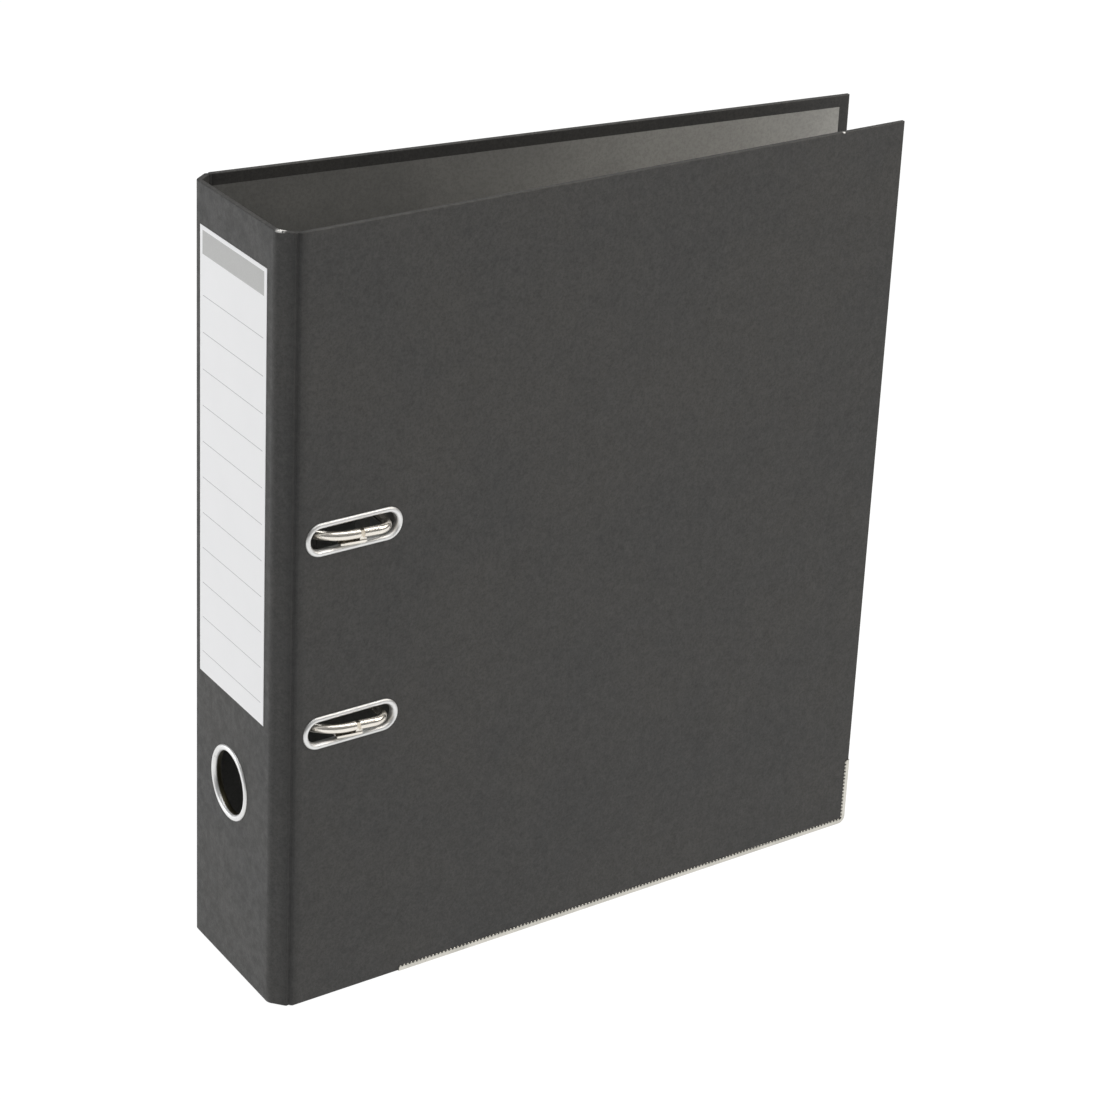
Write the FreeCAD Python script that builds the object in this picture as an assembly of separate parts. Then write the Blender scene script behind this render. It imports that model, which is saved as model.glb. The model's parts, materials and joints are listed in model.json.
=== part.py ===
import FreeCAD, Part
import math
import os
from FreeCAD import Vector, Placement, Rotation

# A4 lever arch file, standing on its bottom edge and slightly pinched shut.
# Millimetres. +X runs from the spine to the fore edge, +Y towards the back cover, +Z up.
# Everything is drawn with the back cover's outer face in the plane Y = 0 and its
# crease at X = 0, then shifted so the origin is the centre of the footprint.

# ---------------------------------------------------------------- driving dimensions
HEIGHT = 318.0            # top edge above the floor
COVER_DEPTH = 286.8       # crease to fore edge, both covers
SPINE_WIDTH = 65.1        # flat of the spine between its two outer creases
STRIP_WIDTH = 9.0         # chamfer strip between the spine and a cover
PAPER = 0.2               # covering and lining paper
BOARD = 1.8               # grey board
WALL = BOARD + 2 * PAPER
CREASE_GAP = 2.4          # bare gap between two boards at a crease
MARGIN = 4.8              # turned-in covering left showing round a lining
EDGE_ROUND = 0.5          # rounding of the covered board edges
CORNER_R = 3.0            # bottom fore corners, inside the edge protectors

# Turn at each crease, in degrees, going round from the back cover to the front one.
BACK_COVER_TURN = 42.7
BACK_SPINE_TURN = 48.7
FRONT_SPINE_TURN = 43.8
FRONT_COVER_TURN = 51.8

# Edge protectors
METAL = 0.3
PROTECTOR_FLANGE = 2.5
PROTECTOR_START = 52.0    # from the crease
PROTECTOR_TOP = 30.8

# Spine fittings
LABEL_U = 4.2             # from the spine's back crease
LABEL_SIZE = (55.4, 182.7)
LABEL_BOTTOM = 119.3
LABEL_PAPER = 0.15
THUMB_U = 30.6
THUMB_Z = 81.4
THUMB_R = 12.8
THUMB_FLANGE_R = 15.65

# Ring slots in the front cover
RING_Z = 157.4            # middle of the mechanism
RING_PITCH = 80.0
SLOT_U = 26.2             # slot centre from the crease
SLOT_SIZE = (38.4, 8.8)
SLOT_FLANGE = (43.6, 13.3)
EYELET_WALL = 0.4
EYELET_PROUD = 0.9
RIM_ROUND = 0.6
FIT = 0.05                # gap round a pressed-in barrel

# Lever arch mechanism, x from the back crease, h above the back cover's inner face
WIRE_R = 1.9
PLATE_X = (3.5, 55.5)
PLATE_LEN = 152.0
PLATE_H = 3.0
PLATE_T = 1.0
PLATE_CORNER_R = 4.0
DIMPLE_R = 4.6
DIMPLE_FLOOR = 1.0
RIVET_X = (9.5, 49.5)
RIVET_DZ = 69.0
RIVET_R = 1.9
RIVET_ROLL_R = 3.2
RIVET_BORE_R = 1.2
RIVET_DOME_R = 8.0
RIVET_DOME_H = 1.0

ARCH_X = 9.4              # the arches' legs and the axis they turn on
POST_X = 42.2
CREST_Y = -76.3           # centre line of the wire where it crosses in front of the cover
ARCH_R = 15.7
POST_R = 6.1
TIP_X = 28.6              # where the arch's tip lands in the post's cradle
TIP_ROUND = 0.4
TIP_GAP = 0.15
COLLAR = (3.4, 1.6)       # radius and height
CRADLE_X = (20.6, 31.5)
CRADLE_R = 2.9
CRADLE_DROP = 1.0         # the cradle's centre line lies below the wire's
CRADLE_BORE = WIRE_R + 0.12
CHEEK_RISE = 0.5          # the cheek's edge past the wire's centre line
AXIS_H = 5.2
CRANK_THROW = 12.0
CRANK_START = 4.6         # above the lever's pivot
CRANK_LEN = 13.4
CRANK_R = 3.0
LEG_R = 4.0
SADDLE_R = 3.0
SADDLE_SHEET = 0.9
SADDLE_DZ = ((-34.5, -30.0), (12.0, 24.0))
TURN_FIT = 0.06           # running fit round the wire's axis

LEVER_X = 20.4
LEVER_W = 9.0
LEVER_DZ = -30.0          # lever pivot from the middle of the mechanism
LEVER_H = 17.4
LEVER_TIP_DZ = 27.0
LEVER_ROOF = 2.4          # underside of the roof above the pivot
LEVER_SKIRT = 1.6         # lower edge of the cheeks below the pivot
LEVER_SHEET = 0.9
PIVOT_R = 1.5
PIVOT_HEAD = (2.4, 0.8)   # radius and height
PIVOT_EYE_R = 3.3
PIN_FIT = 0.04
EAR_GAP = 0.3
EAR_T = 1.2
EAR_R = 3.6
EAR_Z = (-5.0, 2.0)
BRACKET_FOOT = -12.0
ROLLER_R = 3.0
ROLLER_EYE_R = 2.5
ROLLER_ARM = 8.5
ROLLER_START = -55.0      # degrees from the lever's run
ROLLER_PIN_R = 1.0
ROLLER_GAP = 0.3
GRIP_WALL = 1.7
GRIP_LEN = 17.0
GRIP_PAST_TIP = 3.0
GRIP_ROUND = 2.2

BAR_H = 26.0
BAR_T = 1.2
BAR_X = (34.0, 50.0)
BAR_DZ = 55.0
BAR_CORNER_R = 3.0
BAR_ARM_W = 15.0
BAR_ARM_PAST = 4.5        # the hooks reach past the arches' legs
BAR_GAP = 0.3
LUG_Z = (4.4, 5.6)
LUG_R = 1.9
CATCH_RISE = 1.9          # catch pin above the bar
CATCH_X = (36.5, 55.0)
CATCH_W = 8.0
CATCH_T = 1.2
CATCH_SINK = 0.5
CATCH_KNUCKLE_R = 1.7
CATCH_PIN_R = 0.9
CATCH_GAP = 0.5
PRESSED = 0.01            # gap round a pin pressed into its hole

Z = Vector(0, 0, 1)
FLOOR_COVER = METAL       # covers start above the protector's sheet
FLOOR_SPINE = 0.4

parts = {}


# ---------------------------------------------------------------- helpers
def heading(angle):
    return Vector(math.cos(math.radians(angle)), math.sin(math.radians(angle)), 0)


def box(x0, x1, y0, y1, z0, z1):
    return Part.makeBox(x1 - x0, y1 - y0, z1 - z0, Vector(x0, y0, z0))


def cylinder(r, start, end):
    start = Vector(*start)
    end = Vector(*end)
    return Part.makeCylinder(r, (end - start).Length, start, end - start)


def fuse(shapes):
    whole = shapes[0]
    for shape in shapes[1:]:
        whole = whole.fuse(shape)
    return whole.removeSplitter()


def edges_where(shape, test):
    return [e for e in shape.Edges if test(e)]


def middle(edge):
    return edge.valueAt((edge.FirstParameter + edge.LastParameter) / 2)


def stadium(u, z, length, width, w0, w1):
    """A slot shape through a panel, long along u."""
    half = (length - width) / 2
    core = box(u - half, u + half, w0, w1, z - width / 2, z + width / 2)
    ends = [cylinder(width / 2, (u + s * half, w0, z), (u + s * half, w1, z)) for s in (-1, 1)]
    return fuse([core] + ends)


def rod(points, radii, r):
    """Round wire through points, with a bend radius at each inner point."""
    points = [Vector(*p) for p in points]
    pieces = []
    start = points[0]
    for before, corner, after, bend in zip(points, points[1:], points[2:], radii):
        into = (corner - before).normalize()
        out = (after - corner).normalize()
        turn = into.getAngle(out)
        reach = bend * math.tan(turn / 2)
        first = corner - into * reach
        axis = into.cross(out).normalize()
        centre = first + axis.cross(into).normalize() * bend
        pieces.append(cylinder(r, start, first))
        ring = Part.Face(Part.Wire(Part.makeCircle(r, first, into)))
        pieces.append(ring.revolve(centre, axis, math.degrees(turn)))
        start = corner + out * reach
    pieces.append(cylinder(r, start, points[-1]))
    return fuse(pieces)


# ---------------------------------------------------------------- panels
# Each panel has its own axes: u along it, w inwards from the outer face, z up.
def setback(turn):
    """How far a board stops short of the outer corner of a crease."""
    return WALL / 2 * math.tan(math.radians(turn / 2)) + CREASE_GAP / 2


class Panel:
    def __init__(self, corner, angle, length, u0, u1, floor, fore=None):
        self.place = Placement(corner, Rotation(Z, angle))
        self.end = corner + heading(angle) * length
        self.u0, self.u1, self.floor, self.fore = u0, u1, floor, fore

    def put(self, shape):
        shape = shape.copy()
        shape.Placement = self.place.multiply(shape.Placement)
        return shape

    def slab(self, w0, w1, inset):
        """Sheet at depth w0 to w1, held in from the free edges."""
        a = self.u0 + (inset if self.fore == "start" else 0)
        b = self.u1 - (inset if self.fore == "end" else 0)
        sheet = box(a, b, w0, w1, self.floor + inset, HEIGHT - inset)
        if self.fore and inset < CORNER_R:
            u = a if self.fore == "start" else b
            low = self.floor + inset
            corner = edges_where(sheet, lambda e: abs(middle(e).x - u) < 1e-6
                                 and abs(middle(e).z - low) < 1e-6)
            sheet = sheet.makeFillet(CORNER_R - inset, corner)
        return sheet

    def layers(self, holes):
        """Board, covering with its turn-in, and lining, with holes cut through."""
        board = self.slab(PAPER, PAPER + BOARD, PAPER)
        lining = self.slab(WALL - PAPER, WALL, MARGIN)
        whole = self.slab(0, WALL, 0)
        free = (lambda e: self.is_free(middle(e)) and min(middle(e).y, WALL - middle(e).y) < 1e-6)
        covering = whole.makeFillet(EDGE_ROUND * 0.95, edges_where(whole, free))
        covering = covering.cut(board).cut(lining)
        return [self.put(shape.cut(holes) if holes else shape) for shape in (board, covering, lining)]

    def is_free(self, p):
        """Whether a point is on the panel's outline, away from its creases."""
        at_start = abs(p.x - self.u0) < 1e-6
        at_end = abs(p.x - self.u1) < 1e-6
        if at_start:
            return self.fore == "start"
        if at_end:
            return self.fore == "end"
        return True


def crease(corner, angle, turn, floor):
    """Covering and lining that bridge two boards, curved round one centre."""
    back = setback(turn)
    bend = back / math.tan(math.radians(turn / 2))
    start = corner - heading(angle) * back
    centre = start + heading(angle + 90) * bend

    def layer(inner, outer, z0, z1):
        spot = Vector(centre.x, centre.y, z0)
        ring = Part.makeCylinder(outer, z1 - z0, spot, Z, turn)
        ring = ring.cut(Part.makeCylinder(inner, z1 - z0, spot, Z, 360))
        ring.rotate(spot, Z, angle - 90)
        return ring

    inside = bend - WALL
    outer = fuse([
        layer(bend - PAPER, bend, floor, HEIGHT),
        layer(inside, bend, floor, floor + PAPER),
        layer(inside, bend, HEIGHT - PAPER, HEIGHT),
        layer(inside, inside + PAPER, floor, floor + MARGIN),
        layer(inside, inside + PAPER, HEIGHT - MARGIN, HEIGHT),
    ])
    inner = layer(inside, inside + PAPER, floor + MARGIN, HEIGHT - MARGIN)
    return outer, inner


# Going round from the back cover's fore edge: 180 degrees is along -X.
angle = 180.0
turns = [BACK_COVER_TURN, BACK_SPINE_TURN, FRONT_SPINE_TURN, FRONT_COVER_TURN]
backs = [setback(t) for t in turns]
back_cover = Panel(Vector(COVER_DEPTH, 0, 0), angle, COVER_DEPTH,
                   0, COVER_DEPTH - backs[0], FLOOR_COVER, "start")
corners = [back_cover.end]
angles = [angle]
angle += turns[0]
back_strip = Panel(corners[0], angle, STRIP_WIDTH, backs[0], STRIP_WIDTH - backs[1], FLOOR_SPINE)
corners.append(back_strip.end)
angles.append(angle)
angle += turns[1]
spine = Panel(corners[1], angle, SPINE_WIDTH, backs[1], SPINE_WIDTH - backs[2], FLOOR_SPINE)
corners.append(spine.end)
angles.append(angle)
angle += turns[2]
front_strip = Panel(corners[2], angle, STRIP_WIDTH, backs[2], STRIP_WIDTH - backs[3], FLOOR_SPINE)
corners.append(front_strip.end)
angles.append(angle)
angle += turns[3]
front_cover = Panel(corners[3], angle, COVER_DEPTH, backs[3], COVER_DEPTH, FLOOR_COVER, "end")

# ---------------------------------------------------------------- holes through the panels
ring_heights = [RING_Z + s * RING_PITCH / 2 for s in (1, -1)]
rivet_spots = [(x, RING_Z + s * RIVET_DZ) for x in RIVET_X for s in (-1, 1)]

slots = [stadium(SLOT_U, z, SLOT_SIZE[0] + 2 * (EYELET_WALL + FIT),
                 SLOT_SIZE[1] + 2 * (EYELET_WALL + FIT), -1, WALL + 1) for z in ring_heights]
thumb_hole = cylinder(THUMB_R + EYELET_WALL + FIT, (THUMB_U, -1, THUMB_Z),
                      (THUMB_U, WALL + 1, THUMB_Z))
rivet_holes = [cylinder(RIVET_R + FIT, (COVER_DEPTH - x, -1, z), (COVER_DEPTH - x, WALL + 1, z))
               for x, z in rivet_spots]

for name, panel, holes in (
    ("back", back_cover, fuse(rivet_holes)),
    ("back_strip", back_strip, None),
    ("spine", spine, thumb_hole),
    ("front_strip", front_strip, None),
    ("front", front_cover, fuse(slots)),
):
    board, covering, lining = panel.layers(holes)
    parts[name + "_board"] = board
    parts[name + "_covering"] = covering
    parts[name + "_lining"] = lining

for name, corner, start, turn in zip(
    ("back_cover", "back_spine", "front_spine", "front_cover"), corners, angles, turns
):
    outer, inner = crease(corner, start, turn, FLOOR_SPINE)
    parts[name + "_crease"] = outer
    parts[name + "_crease_lining"] = inner


# ---------------------------------------------------------------- edge protectors
def protector(panel):
    """Folded sheet along the bottom edge and up the fore edge."""
    fore = panel.u0 if panel.fore == "start" else panel.u1
    side = -1 if panel.fore == "start" else 1

    def outline(grow, start, top, w0, w1):
        far = fore + side * grow
        near = start
        low, high = min(near, far), max(near, far)
        sheet = box(low, high, w0, w1, panel.floor - grow, top)
        corner = edges_where(sheet, lambda e: abs(middle(e).x - far) < 1e-6
                             and abs(middle(e).z - (panel.floor - grow)) < 1e-6)
        return sheet.makeFillet(CORNER_R + grow, corner)

    start = fore - side * (COVER_DEPTH - PROTECTOR_START)
    sheet = outline(METAL, start, PROTECTOR_TOP, -METAL, WALL + METAL)
    beyond = start - side * 5
    sheet = sheet.cut(outline(0, beyond, PROTECTOR_TOP + 5, 0, WALL))
    return panel.put(sheet.cut(outline(-PROTECTOR_FLANGE, beyond, PROTECTOR_TOP + 5, -5, WALL + 5)))


parts["front_edge_protector"] = protector(front_cover)
parts["back_edge_protector"] = protector(back_cover)

# ---------------------------------------------------------------- spine label and thumb ring
parts["spine_label"] = spine.put(box(LABEL_U, LABEL_U + LABEL_SIZE[0], -LABEL_PAPER, 0,
                                     LABEL_BOTTOM, LABEL_BOTTOM + LABEL_SIZE[1]))


def soften(shape, w, radius):
    """Round the outermost rim of an eyelet flange lying in the plane w."""
    rim = edges_where(shape, lambda e: abs(e.BoundBox.YMin - w) < 1e-6
                      and abs(e.BoundBox.YMax - w) < 1e-6)
    return shape.makeFillet(radius, rim)


thumb = fuse([
    cylinder(THUMB_R + EYELET_WALL, (THUMB_U, -EYELET_PROUD, THUMB_Z),
             (THUMB_U, WALL + EYELET_PROUD, THUMB_Z)),
    cylinder(THUMB_FLANGE_R, (THUMB_U, -EYELET_PROUD, THUMB_Z), (THUMB_U, 0, THUMB_Z)),
    cylinder(THUMB_FLANGE_R, (THUMB_U, WALL, THUMB_Z), (THUMB_U, WALL + EYELET_PROUD, THUMB_Z)),
])
thumb = soften(soften(thumb, -EYELET_PROUD, RIM_ROUND), WALL + EYELET_PROUD, RIM_ROUND)
thumb = thumb.cut(cylinder(THUMB_R, (THUMB_U, -3, THUMB_Z), (THUMB_U, WALL + 3, THUMB_Z)))
parts["thumb_ring"] = spine.put(thumb)

for name, z in zip(("upper", "lower"), ring_heights):
    barrel = stadium(SLOT_U, z, SLOT_SIZE[0] + 2 * EYELET_WALL, SLOT_SIZE[1] + 2 * EYELET_WALL,
                     -EYELET_PROUD, WALL + EYELET_PROUD)
    flanges = [stadium(SLOT_U, z, SLOT_FLANGE[0], SLOT_FLANGE[1], w0, w1)
               for w0, w1 in ((-EYELET_PROUD, 0), (WALL, WALL + EYELET_PROUD))]
    eyelet = fuse([barrel] + flanges)
    eyelet = soften(soften(eyelet, -EYELET_PROUD, RIM_ROUND), WALL + EYELET_PROUD, RIM_ROUND)
    eyelet = eyelet.cut(stadium(SLOT_U, z, SLOT_SIZE[0], SLOT_SIZE[1], -3, WALL + 3))
    parts["slot_eyelet_" + name] = front_cover.put(eyelet)


# ---------------------------------------------------------------- lever arch mechanism
def at(x, h, z):
    """A point x from the back crease and h above the back cover's inner face."""
    return (x, -WALL - h, z)


def block(x0, x1, h0, h1, z0, z1):
    return box(x0, x1, -WALL - h1, -WALL - h0, z0, z1)


def across(r, x0, x1, h, z):
    """Round bar parallel to X."""
    return cylinder(r, at(x0, h, z), at(x1, h, z))


def bored(shape, r, x, z, deep=60):
    """Cut a hole square to the back cover, right through the shape."""
    return shape.cut(cylinder(r, at(x, -5, z), at(x, deep, z)))


# Base plate: a shallow pressed tray with four dimples down to the cover.
low, high = RING_Z - PLATE_LEN / 2, RING_Z + PLATE_LEN / 2
tray = block(PLATE_X[0], PLATE_X[1], 0, PLATE_H, low, high)
tray = tray.makeFillet(PLATE_CORNER_R, edges_where(
    tray, lambda e: abs(e.BoundBox.YLength - PLATE_H) < 1e-6))
tray = tray.makeFillet(PLATE_T * 1.2, edges_where(
    tray, lambda e: abs(e.BoundBox.YMin + WALL + PLATE_H) < 1e-6 and e.BoundBox.YLength < 1e-6))
hollow = block(PLATE_X[0] + PLATE_T, PLATE_X[1] - PLATE_T, 0, PLATE_H - PLATE_T,
               low + PLATE_T, high - PLATE_T)
hollow = hollow.makeFillet(PLATE_CORNER_R - PLATE_T, edges_where(
    hollow, lambda e: e.BoundBox.YLength > PLATE_T / 2))
tray = tray.cut(hollow)
for x, z in rivet_spots:
    tray = tray.fuse(cylinder(DIMPLE_R, at(x, 0, z), at(x, PLATE_H - 0.2, z)))
    tray = tray.cut(cylinder(DIMPLE_R - 0.9, at(x, DIMPLE_FLOOR, z), at(x, PLATE_H + 1, z)))
    tray = bored(tray, RIVET_R + FIT, x, z)
parts["base_plate"] = tray.removeSplitter()

# Four tubular rivets: domed head outside the cover, rolled head in the dimple.
rivets = []
for x, z in rivet_spots:
    ball = Part.makeSphere(RIVET_DOME_R, Vector(x, RIVET_DOME_H - RIVET_DOME_R, z))
    head = ball.common(box(x - 6, x + 6, 0, 2, z - 6, z + 6))
    shank = cylinder(RIVET_R, (x, 0.2, z), at(x, DIMPLE_FLOOR + 0.6, z))
    rolled = cylinder(RIVET_ROLL_R, at(x, DIMPLE_FLOOR, z), at(x, DIMPLE_FLOOR + 0.8, z))
    rivets.append(fuse([head, shank, rolled]).cut(
        cylinder(RIVET_BORE_R, at(x, -0.5, z), at(x, PLATE_H, z))))
parts["mechanism_rivets"] = Part.makeCompound(rivets)


def arch_line(start, z):
    """The arch's centre line from a point on its crest down to its axis."""
    return [(start, CREST_Y, z), (ARCH_X, CREST_Y, z), at(ARCH_X, AXIS_H, z)]


# Fixed posts: a bent wire on a collar, ending in a one-sided cradle for the arch's tip.
for name, z in zip(("upper", "lower"), ring_heights):
    post = rod([at(POST_X, PLATE_H, z), (POST_X, CREST_Y, z), (CRADLE_X[1] - 1.5, CREST_Y, z)],
               [POST_R], WIRE_R)
    collar = cylinder(COLLAR[0], at(POST_X, PLATE_H, z), at(POST_X, PLATE_H + COLLAR[1], z))
    cradle = rod(arch_line(CRADLE_X[1], z - CRADLE_DROP), [ARCH_R], CRADLE_R)
    cradle = cradle.makeFillet(CRADLE_DROP * 0.9, edges_where(
        cradle, lambda e: e.BoundBox.XMin > CRADLE_X[1] - 0.1))
    cradle = cradle.common(box(CRADLE_X[0], CRADLE_X[1] + 1, CREST_Y - 4, CREST_Y + 5,
                               z - 4, z + CRADLE_DROP))
    low_side = z - CRADLE_DROP + 0.1
    trough = rod(arch_line(TIP_X + TIP_GAP, z), [ARCH_R], CRADLE_BORE)
    trough = trough.fuse(rod(arch_line(TIP_X + TIP_GAP, low_side), [ARCH_R], CRADLE_BORE))
    mouth = box(CRADLE_X[0] - 1, CRADLE_X[1] + 2, CREST_Y - 4, CREST_Y - CHEEK_RISE, z - 4, z + 4)
    sight = box(CRADLE_X[0] - 1, CRADLE_X[1] + 2, CREST_Y - 4, CREST_Y,
                low_side - CRADLE_BORE, z + CRADLE_BORE)
    cradle = cradle.cut(trough).cut(mouth).cut(sight)
    post = post.cut(trough).fuse(cradle).fuse(collar)
    parts["post_" + name] = post.removeSplitter()

# Arch wire: both arches, the axis they turn on and the crank the lever works.
pivot_z = RING_Z + LEVER_DZ
crank = (pivot_z + CRANK_START, pivot_z + CRANK_START + CRANK_LEN)
crank_x = ARCH_X + CRANK_THROW
axis = [at(ARCH_X, AXIS_H, crank[0]), at(crank_x, AXIS_H, crank[0]),
        at(crank_x, AXIS_H, crank[1]), at(ARCH_X, AXIS_H, crank[1])]
wire = rod(arch_line(TIP_X, ring_heights[1]) + axis + arch_line(TIP_X, ring_heights[0])[::-1],
           [ARCH_R, LEG_R] + [CRANK_R] * 4 + [LEG_R, ARCH_R], WIRE_R)
parts["arch_wire"] = wire.makeFillet(TIP_ROUND, edges_where(
    wire, lambda e: e.BoundBox.XMin > TIP_X - 0.01))

# Two saddles hold the wire's axis down on the plate.
saddles = []
for dz in SADDLE_DZ:
    z0, z1 = RING_Z + dz[0], RING_Z + dz[1]
    inner = WIRE_R + TURN_FIT
    hoop = cylinder(SADDLE_R, at(ARCH_X, AXIS_H, z0), at(ARCH_X, AXIS_H, z1))
    sides = block(ARCH_X - SADDLE_R, ARCH_X + SADDLE_R, PLATE_H, AXIS_H, z0, z1)
    foot = block(PLATE_X[0] + 0.9, ARCH_X, PLATE_H, PLATE_H + SADDLE_SHEET, z0, z1)
    bore = cylinder(inner, at(ARCH_X, AXIS_H, z0 - 1), at(ARCH_X, AXIS_H, z1 + 1))
    under = block(ARCH_X - inner, ARCH_X + inner, PLATE_H - 1, AXIS_H, z0 - 1, z1 + 1)
    saddle = fuse([hoop, sides, foot]).cut(bore).cut(under)
    saddle = saddle.cut(block(-20, 60, -5, PLATE_H, z0 - 1, z1 + 1))
    saddles.append(saddle.removeSplitter())
parts["wire_saddles"] = Part.makeCompound(saddles)

# Lever bracket: two ears on a foot, with the pin the lever turns on.
half = LEVER_W / 2
ear_in = half + EAR_GAP
ear_out = ear_in + EAR_T
bracket = [block(LEVER_X - ear_out, LEVER_X + ear_out, PLATE_H, PLATE_H + EAR_T,
                 pivot_z + BRACKET_FOOT, pivot_z + EAR_Z[1])]
for x0, x1 in ((LEVER_X - ear_out, LEVER_X - ear_in), (LEVER_X + ear_in, LEVER_X + ear_out)):
    bracket.append(block(x0, x1, PLATE_H, LEVER_H, pivot_z + EAR_Z[0], pivot_z + EAR_Z[1]))
    bracket.append(across(EAR_R, x0, x1, LEVER_H, pivot_z))
pivot_bore = across(PIVOT_R + PIN_FIT, LEVER_X - 2 * half, LEVER_X + 2 * half, LEVER_H, pivot_z)
parts["lever_bracket"] = fuse(bracket).cut(pivot_bore)
pin = [across(PIVOT_R, LEVER_X - ear_out, LEVER_X + ear_out, LEVER_H, pivot_z)]
for side in (-1, 1):
    pin.append(across(PIVOT_HEAD[0], LEVER_X + side * ear_out,
                      LEVER_X + side * (ear_out + PIVOT_HEAD[1]), LEVER_H, pivot_z))
parts["lever_pin"] = fuse(pin)

# Lever: a channel open towards the plate, its cheeks deepened to carry the roller.
tip_z = RING_Z + LEVER_TIP_DZ
roof_h = (LEVER_H + LEVER_ROOF, LEVER_H + LEVER_ROOF + LEVER_SHEET)
skirt_h = LEVER_H - LEVER_SKIRT
roller_z = pivot_z + ROLLER_ARM * math.cos(math.radians(ROLLER_START))
roller_h = LEVER_H + ROLLER_ARM * math.sin(math.radians(ROLLER_START))
cheek = [(LEVER_H + 2, pivot_z - 2.6), (LEVER_H - 1, pivot_z - 3.1),
         (roller_h - 1.2, roller_z - 2.2), (roller_h, roller_z + ROLLER_EYE_R),
         (skirt_h, pivot_z + 12), (LEVER_H + 2, pivot_z + 12)]
lever = [block(LEVER_X - half, LEVER_X + half, roof_h[0], roof_h[1], pivot_z - 1, tip_z)]
for x0 in (LEVER_X - half, LEVER_X + half - LEVER_SHEET):
    x1 = x0 + LEVER_SHEET
    lever.append(block(x0, x1, skirt_h, roof_h[0] + LEVER_SHEET / 2, pivot_z, tip_z))
    lever.append(across(PIVOT_EYE_R, x0, x1, LEVER_H, pivot_z))
    lever.append(across(ROLLER_EYE_R, x0, x1, roller_h, roller_z))
    web = Part.makePolygon([Vector(*at(x0, h, z)) for h, z in cheek + cheek[:1]])
    lever.append(Part.Face(web).extrude(Vector(LEVER_SHEET, 0, 0)))
pin_bore = across(ROLLER_PIN_R + PRESSED, LEVER_X - 2 * half, LEVER_X + 2 * half, roller_h, roller_z)
parts["lever"] = fuse(lever).cut(pivot_bore).cut(pin_bore).removeSplitter()

# Plastic grip pushed over the lever's end.
grip = block(LEVER_X - half - GRIP_WALL, LEVER_X + half + GRIP_WALL, skirt_h - 1.0, roof_h[1] + 1.1,
             tip_z - GRIP_LEN, tip_z + GRIP_PAST_TIP)
grip = grip.makeFillet(GRIP_ROUND, grip.Edges)
parts["lever_grip"] = grip.cut(block(LEVER_X - half, LEVER_X + half, skirt_h, roof_h[1],
                                     tip_z - GRIP_LEN - 1, tip_z))

reach = half - LEVER_SHEET - ROLLER_GAP
parts["roller_pin"] = across(ROLLER_PIN_R, LEVER_X - half, LEVER_X + half, roller_h, roller_z)
roller = across(ROLLER_R, LEVER_X - reach, LEVER_X + reach, roller_h, roller_z)
parts["roller"] = roller.cut(across(ROLLER_PIN_R + PIN_FIT, LEVER_X - half, LEVER_X + half,
                                    roller_h, roller_z))

# Compressor bar: slides on the posts, with two open hooks round the arch legs.
top = BAR_H + BAR_T
bar = [block(BAR_X[0], BAR_X[1], BAR_H, top, RING_Z - BAR_DZ, RING_Z + BAR_DZ)]
for z in ring_heights:
    bar.append(block(ARCH_X - BAR_ARM_PAST, BAR_X[0] + 1, BAR_H, top,
                     z - BAR_ARM_W / 2, z + BAR_ARM_W / 2))
bar = fuse(bar)
bar = bar.makeFillet(BAR_CORNER_R, edges_where(bar, lambda e: abs(e.BoundBox.YLength - BAR_T) < 1e-6))
hole = WIRE_R + BAR_GAP
for z in ring_heights:
    bar = bored(bored(bar, hole, POST_X, z), hole, ARCH_X, z)
    bar = bar.cut(block(ARCH_X - 2 * BAR_ARM_PAST, ARCH_X, BAR_H - 1, top + 1, z - hole, z + hole))
catch_z = ring_heights[1]
catch_h = top + CATCH_RISE
catch_x = BAR_X[1] - 0.2 - LUG_R
lugs = []
for z0, z1 in ((catch_z - LUG_Z[1], catch_z - LUG_Z[0]), (catch_z + LUG_Z[0], catch_z + LUG_Z[1])):
    lugs.append(block(catch_x - LUG_R, catch_x + LUG_R, BAR_H, catch_h, z0, z1))
    lugs.append(cylinder(LUG_R, at(catch_x, catch_h, z0), at(catch_x, catch_h, z1)))


def catch_rod(r, half_length):
    """Round bar on the catch's axis."""
    return cylinder(r, at(catch_x, catch_h, catch_z - half_length),
                    at(catch_x, catch_h, catch_z + half_length))


parts["compressor_bar"] = fuse([bar] + lugs).cut(catch_rod(CATCH_PIN_R + PRESSED, 9))
parts["catch_pin"] = catch_rod(CATCH_PIN_R, LUG_Z[1])

# Catch: a tilting plate that bites on the lower post, with a thumb tab.
catch_side = CATCH_W / 2
catch = block(CATCH_X[0], CATCH_X[1], catch_h - CATCH_SINK, catch_h - CATCH_SINK + CATCH_T,
              catch_z - catch_side, catch_z + catch_side)
catch = catch.makeFillet(2.5, edges_where(
    catch, lambda e: e.BoundBox.YLength > 1 and middle(e).x > CATCH_X[1] - 0.1))
catch = catch.fuse(catch_rod(CATCH_KNUCKLE_R, catch_side))
catch = bored(catch, WIRE_R + CATCH_GAP, POST_X, catch_z)
parts["compressor_catch"] = catch.cut(catch_rod(CATCH_PIN_R + PIN_FIT, 9)).removeSplitter()

# ---------------------------------------------------------------- shift and save
bounds = FreeCAD.BoundBox()
for shape in parts.values():
    bounds.add(shape.optimalBoundingBox(False, False))
shift = Vector(-bounds.Center.x, -bounds.Center.y, -bounds.ZMin)
os.makedirs("parts", exist_ok=True)
for name, shape in parts.items():
    shape = shape.copy()
    shape.translate(shift)
    shape.exportStep("parts/" + name + ".step")
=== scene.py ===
import json
import math

import bpy
import numpy as np
from mathutils import Matrix, Vector


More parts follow.
